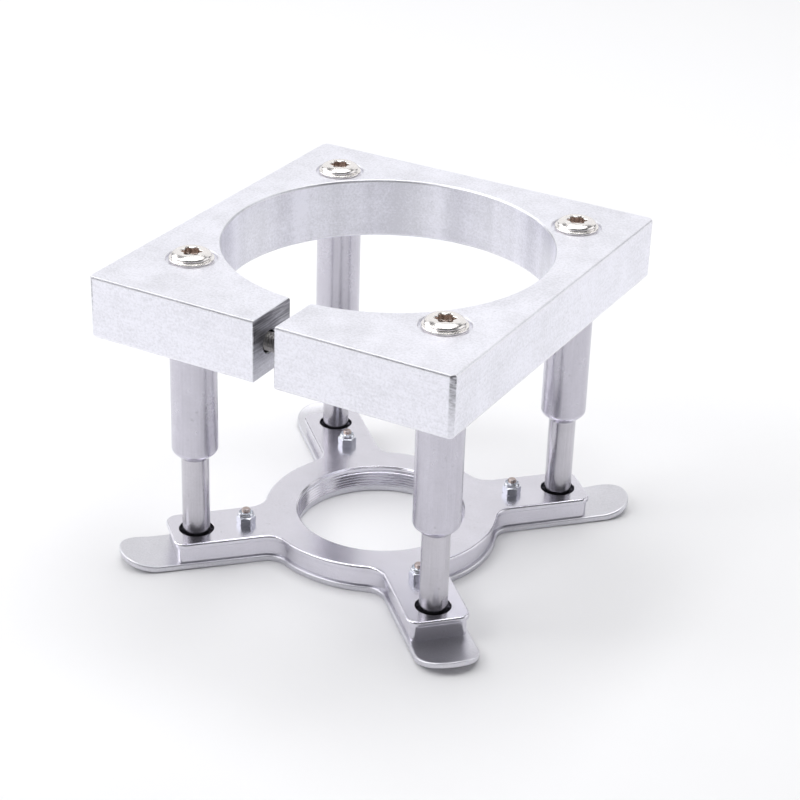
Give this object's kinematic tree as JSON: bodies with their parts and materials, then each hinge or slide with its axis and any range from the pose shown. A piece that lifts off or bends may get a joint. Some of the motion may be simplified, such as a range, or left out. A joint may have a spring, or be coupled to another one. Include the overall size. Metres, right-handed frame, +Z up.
{
  "type": "spindle clamp with spring presser foot",
  "caption": "Split square clamp for a round router spindle, carrying a star-shaped presser foot with upturned toes on sprung telescopic legs.",
  "frame": {"origin": "on the spindle axis, at the underside of the presser foot", "axes": "+Z up along the spindle axis, the clamp's slit faces -Y, +X to the right when facing the slit from the front"},
  "size_m": [0.1304, 0.1377, 0.1079],
  "materials": {
    "milled_aluminium": "satin, face-milled with fine arc marks",
    "plate_aluminium": "bright, lightly brushed",
    "turned_aluminium": "satin, turned",
    "sheet_steel": "bright rolled sheet",
    "polished_steel": "ground and polished",
    "spring_steel": "drawn wire",
    "stainless": "polished",
    "zinc_plate": "bright zinc plate",
    "nylon": "plain"
  },
  "bodies": {
    "clamp": {"clamp_block": "milled_aluminium", "leg_screw_front_left": "stainless", "leg_screw_front_right": "stainless", "leg_screw_back_right": "stainless", "leg_screw_back_left": "stainless", "guide_tube_front_left": "turned_aluminium", "guide_tube_front_right": "turned_aluminium", "guide_tube_back_right": "turned_aluminium", "guide_tube_back_left": "turned_aluminium", "tube_plug_front_left": "turned_aluminium", "tube_plug_front_right": "turned_aluminium", "tube_plug_back_right": "turned_aluminium", "tube_plug_back_left": "turned_aluminium", "spring_front_left": "spring_steel", "spring_front_right": "spring_steel", "spring_back_right": "spring_steel", "spring_back_left": "spring_steel"},
    "foot": {"cover_plate": "plate_aluminium", "middle_plate": "plate_aluminium", "bottom_plate": "sheet_steel", "guide_rod_front_left": "polished_steel", "guide_rod_front_right": "polished_steel", "guide_rod_back_right": "polished_steel", "guide_rod_back_left": "polished_steel", "rod_clip_front_left": "spring_steel", "rod_clip_front_right": "spring_steel", "rod_clip_back_right": "spring_steel", "rod_clip_back_left": "spring_steel", "foot_bolt_front_left": "zinc_plate", "foot_bolt_front_right": "zinc_plate", "foot_bolt_back_right": "zinc_plate", "foot_bolt_back_left": "zinc_plate", "foot_nut_front_left": "zinc_plate", "foot_nut_front_right": "zinc_plate", "foot_nut_back_right": "zinc_plate", "foot_nut_back_left": "zinc_plate", "nut_insert_front_left": "nylon", "nut_insert_front_right": "nylon", "nut_insert_back_right": "nylon", "nut_insert_back_left": "nylon"},
    "pinch": {"pinch_screw": "stainless"}
  },
  "joints": [
    {"name": "foot_slide", "type": "slide", "parent": "clamp", "child": "foot", "axis": [0, 0, 1], "range_m": [0, 0.02], "stiffness_N_per_m": 5000, "springref_m": -0.0066, "deforming": ["spring_front_left", "spring_front_right", "spring_back_right", "spring_back_left"]},
    {"name": "pinch_screw_turn", "type": "hinge", "parent": "clamp", "child": "pinch", "pos_m": [0, -0.0635, 0.0955], "axis": [1, 0, 0], "range_deg": [-360, 0]}
  ]
}
